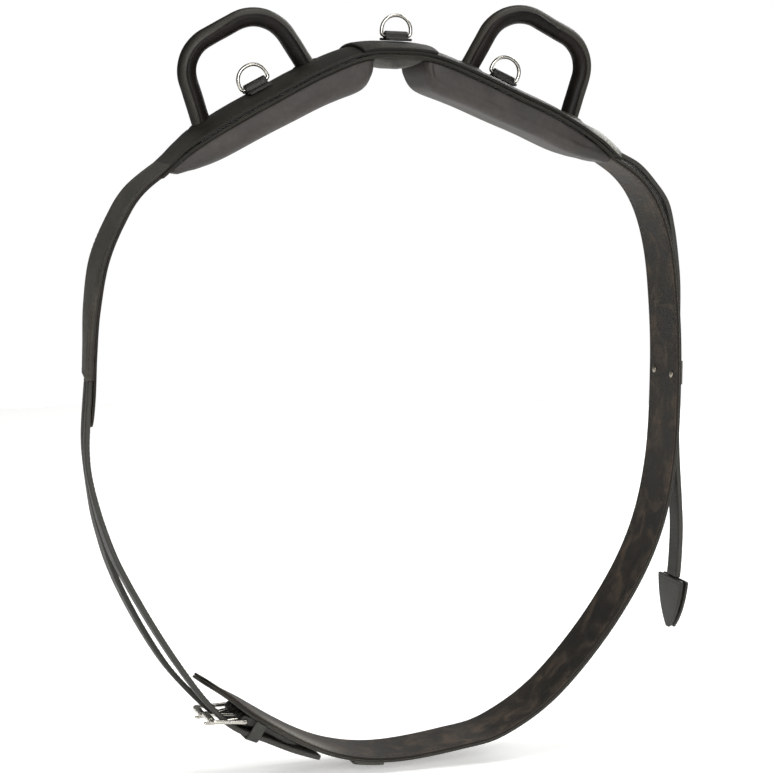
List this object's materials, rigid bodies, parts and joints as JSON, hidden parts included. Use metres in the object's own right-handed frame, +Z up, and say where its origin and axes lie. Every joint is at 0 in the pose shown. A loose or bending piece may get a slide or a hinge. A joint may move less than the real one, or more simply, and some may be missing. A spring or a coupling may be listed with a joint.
{
  "type": "vaulting surcingle",
  "caption": "Leather vaulting surcingle: a closed girth with padded panels beside an open gullet, rigid hand grips, hinged D-rings, a buckled fastening and a hanging strap end.",
  "frame": {"origin": "middle of the gullet at the level of the withers, where the surcingle rests on the horse", "axes": "+Z up, +Y towards the horse's tail, +X to the side where the girth band and the outer strap hang"},
  "size_m": [0.5711, 0.079, 0.6857],
  "materials": {
    "top_leather": "Dark olive-grey finished top leather with a soft sheen and visible stitching.",
    "strap_leather": "Olive-grey strap leather, slightly mottled, with darkened two-ply edges.",
    "lining_leather": "Dark brown, mottled, worn flesh-side leather.",
    "grip_leather": "Near-black polished leather tube with a stitched seam.",
    "wool_felt": "Pressed wool felt stuffing.",
    "steel": "Plain mild steel, hidden inside the panels.",
    "rivet_steel": "Dull grey-brown rivet heads.",
    "nickel": "Bright nickel-plated steel wire with sharp reflections."
  },
  "bodies": {
    "surcingle": {"bottom_keeper": "strap_leather", "centre_ring_loop": "top_leather", "flap_lining": "lining_leather", "flap_outer": "strap_leather", "front_billet": "strap_leather", "front_billet_keeper": "strap_leather", "front_buckle_frame": "nickel", "front_chape": "strap_leather", "front_keeper_rivet": "rivet_steel", "front_welt": "top_leather", "girth_lining": "lining_leather", "girth_outer": "strap_leather", "gullet_cover": "top_leather", "gullet_lining": "strap_leather", "hang_strap": "strap_leather", "left_filler": "wool_felt", "left_handle_core": "steel", "left_handle_grip": "grip_leather", "left_inner_handle_nut": "steel", "left_outer_handle_nut": "steel", "left_pad_cover": "top_leather", "left_pad_filling": "wool_felt", "left_ring_loop": "top_leather", "left_top_panel": "top_leather", "rear_billet": "strap_leather", "rear_billet_keeper": "strap_leather", "rear_buckle_frame": "nickel", "rear_chape": "strap_leather", "rear_keeper_rivet": "rivet_steel", "rear_welt": "top_leather", "right_filler": "wool_felt", "right_handle_core": "steel", "right_handle_grip": "grip_leather", "right_inner_handle_nut": "steel", "right_outer_handle_nut": "steel", "right_pad_cover": "top_leather", "right_pad_filling": "wool_felt", "right_ring_loop": "top_leather", "right_top_panel": "top_leather", "side_keeper": "strap_leather", "steel_arch_plate": "steel"},
    "left_d_ring": {"left_d_ring": "nickel"},
    "centre_d_ring": {"centre_d_ring": "nickel"},
    "right_d_ring": {"right_d_ring": "nickel"},
    "front_roller": {"front_roller": "nickel"},
    "rear_roller": {"rear_roller": "nickel"},
    "front_tongue": {"front_tongue": "nickel"},
    "rear_tongue": {"rear_tongue": "nickel"},
    "hang_tail": {"hang_tail": "strap_leather", "arrow_outer": "strap_leather", "arrow_inner": "strap_leather"}
  },
  "joints": [
    {"name": "left_ring_flip", "type": "hinge", "parent": "surcingle", "child": "left_d_ring", "pos_m": [-0.12184, 0, -0.02269], "axis": [0.891, 0, 0.4541], "range_deg": [-80, 80]},
    {"name": "centre_ring_flip", "type": "hinge", "parent": "surcingle", "child": "centre_d_ring", "pos_m": [0.00679, 0, 0.01926], "axis": [0.9991, 0, -0.0431], "range_deg": [-80, 80]},
    {"name": "right_ring_flip", "type": "hinge", "parent": "surcingle", "child": "right_d_ring", "pos_m": [0.10784, 0, -0.01741], "axis": [0.9043, 0, -0.4269], "range_deg": [-80, 80]},
    {"name": "front_roller_spin", "type": "hinge", "parent": "surcingle", "child": "front_roller", "pos_m": [-0.17386, -0.0176, -0.58053], "axis": [0, 1, 0], "continuous": true},
    {"name": "rear_roller_spin", "type": "hinge", "parent": "surcingle", "child": "rear_roller", "pos_m": [-0.174, 0.0176, -0.58377], "axis": [0, 1, 0], "continuous": true},
    {"name": "front_tongue_swing", "type": "hinge", "parent": "surcingle", "child": "front_tongue", "pos_m": [-0.143, -0.0176, -0.5835], "axis": [0, -1, 0], "range_deg": [0, 8]},
    {"name": "rear_tongue_swing", "type": "hinge", "parent": "surcingle", "child": "rear_tongue", "pos_m": [-0.143, 0.0176, -0.5835], "axis": [0, -1, 0], "range_deg": [0, 4]},
    {"name": "hang_tail_swing", "type": "hinge", "parent": "surcingle", "child": "hang_tail", "pos_m": [0.279, 0, -0.308], "axis": [0, -1, 0], "range_deg": [0, 75]}
  ]
}
